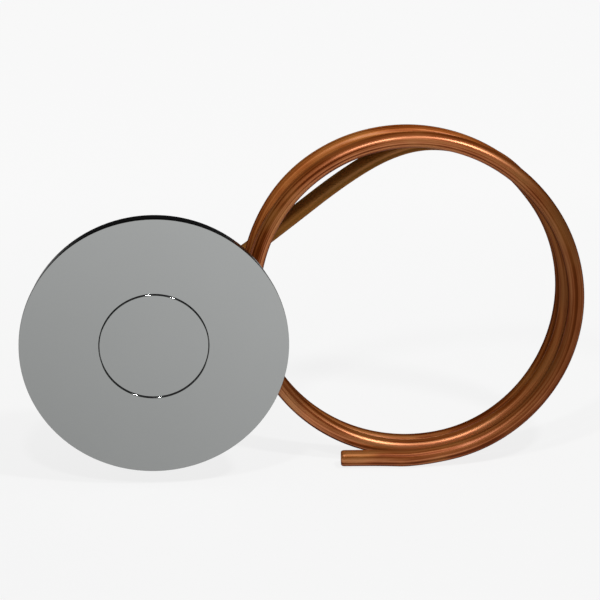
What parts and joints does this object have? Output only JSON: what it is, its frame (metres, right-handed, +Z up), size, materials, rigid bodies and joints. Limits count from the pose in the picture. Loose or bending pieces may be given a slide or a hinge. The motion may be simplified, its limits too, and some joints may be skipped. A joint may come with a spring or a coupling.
{
  "type": "push button cistern actuator",
  "caption": "Round polished wall plate with a flush push button on a black base; the button squeezes a bellows that sends air through a coiled copper tube to a cistern valve.",
  "frame": {"origin": "on the button's axis, at the wall's face, which is the back of the gasket", "axes": "+Y into the wall along the button's axis, +Z up, +X to the user's right, so the polished face looks along -Y"},
  "size_m": [0.3484, 0.0864, 0.2084],
  "materials": {
    "polished_steel": "mirror polished stainless steel",
    "zinc_steel": "bright zinc plated",
    "black_plastic": "moulded black, satin",
    "white_acetal": "moulded white, satin",
    "black_rubber": "moulded rubber",
    "brass": "machined brass",
    "copper": "drawn copper with brown tarnish"
  },
  "bodies": {
    "housing": {"face_plate": "polished_steel", "plate_washers": "zinc_steel", "plate_nuts": "zinc_steel", "base_housing": "black_plastic", "wall_gasket": "black_rubber", "slip_washer": "white_acetal", "back_nut": "black_plastic", "bellows": "black_rubber", "back_cap": "black_plastic", "cap_screws": "zinc_steel", "elbow_seal": "black_rubber", "elbow_lock_nut": "brass", "outlet_elbow": "brass", "compression_olive": "brass", "compression_nut": "brass", "copper_tube": "copper"},
    "button": {"button_cap": "polished_steel", "plunger": "white_acetal", "plunger_washer": "zinc_steel", "plunger_nut": "zinc_steel"}
  },
  "joints": [
    {"name": "button_press", "type": "slide", "parent": "housing", "child": "button", "axis": [0, 1, 0], "range_m": [0, 0.006], "stiffness_N_per_m": 1500, "springref_m": -0.004, "deforming": ["bellows"]}
  ]
}
